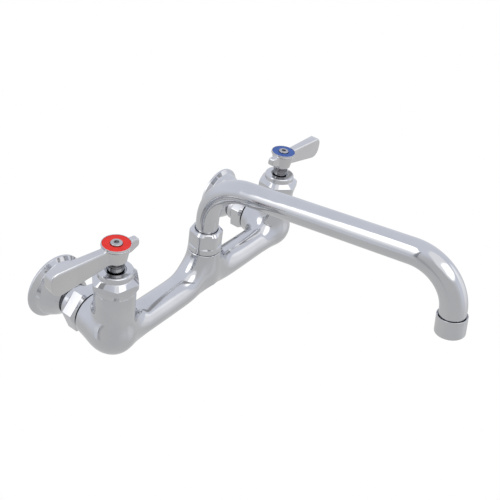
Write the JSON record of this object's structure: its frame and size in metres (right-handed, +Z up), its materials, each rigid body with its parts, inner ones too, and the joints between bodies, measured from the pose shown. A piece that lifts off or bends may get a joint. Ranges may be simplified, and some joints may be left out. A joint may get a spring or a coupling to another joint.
{
  "type": "wall mounted mixing faucet",
  "caption": "Chromed wall faucet with two quarter-turn lever valves on a bridge body, wall flanges and a long swinging tubular spout.",
  "frame": {"origin": "on the wall plane, midway between the axes of the two supply threads", "axes": "+X to the right of someone facing the wall, +Y into the wall, +Z up; the spout stands out along -Y"},
  "size_m": [0.3109, 0.2806, 0.1405],
  "materials": {
    "body_chrome": "polished",
    "trim_chrome": "polished",
    "lever_chrome": "polished",
    "spout_chrome": "polished",
    "screw_steel": "polished stainless",
    "hot_index": "gloss red",
    "cold_index": "gloss blue",
    "valve_brass": "machined",
    "ceramic": "polished ceramic",
    "black_rubber": "matt",
    "fibre": "matt",
    "nylon": "matt",
    "spring_steel": "plain",
    "aerator_plastic": "matt"
  },
  "bodies": {
    "faucet_body": {"body": "body_chrome", "spout_nut": "trim_chrome", "swivel_ring": "nylon", "hot_wall_flange": "trim_chrome", "hot_coupling_nut": "trim_chrome", "hot_coupling_washer": "fibre", "hot_bonnet_nut": "trim_chrome", "hot_seat_seal": "black_rubber", "hot_fixed_disc": "ceramic", "hot_cartridge_body": "valve_brass", "hot_cartridge_seal": "black_rubber", "hot_thrust_washer": "nylon", "cold_wall_flange": "trim_chrome", "cold_coupling_nut": "trim_chrome", "cold_coupling_washer": "fibre", "cold_bonnet_nut": "trim_chrome", "cold_seat_seal": "black_rubber", "cold_fixed_disc": "ceramic", "cold_cartridge_body": "valve_brass", "cold_cartridge_seal": "black_rubber", "cold_thrust_washer": "nylon"},
    "hot_handle": {"hot_lever": "lever_chrome", "hot_index_ring": "hot_index", "hot_handle_screw": "screw_steel", "hot_stem": "valve_brass", "hot_stem_seal": "black_rubber", "hot_stem_clip": "spring_steel", "hot_moving_disc": "ceramic"},
    "cold_handle": {"cold_lever": "lever_chrome", "cold_index_ring": "cold_index", "cold_handle_screw": "screw_steel", "cold_stem": "valve_brass", "cold_stem_seal": "black_rubber", "cold_stem_clip": "spring_steel", "cold_moving_disc": "ceramic"},
    "spout": {"spout_tube": "spout_chrome", "swivel_sleeve": "valve_brass", "swivel_seals": "black_rubber", "outlet_collar": "spout_chrome", "aerator_washer": "black_rubber", "aerator_insert": "aerator_plastic"}
  },
  "joints": [
    {"name": "hot_valve", "type": "hinge", "parent": "faucet_body", "child": "hot_handle", "pos_m": [-0.1016, -0.064, 0.05], "axis": [0, 0, 1], "range_deg": [0, 90]},
    {"name": "cold_valve", "type": "hinge", "parent": "faucet_body", "child": "cold_handle", "pos_m": [0.1016, -0.064, 0.05], "axis": [0, 0, 1], "range_deg": [-90, 0]},
    {"name": "spout_swivel", "type": "hinge", "parent": "faucet_body", "child": "spout", "pos_m": [0, -0.064, 0.03], "axis": [0, 0, 1], "range_deg": [-100, 100]}
  ]
}
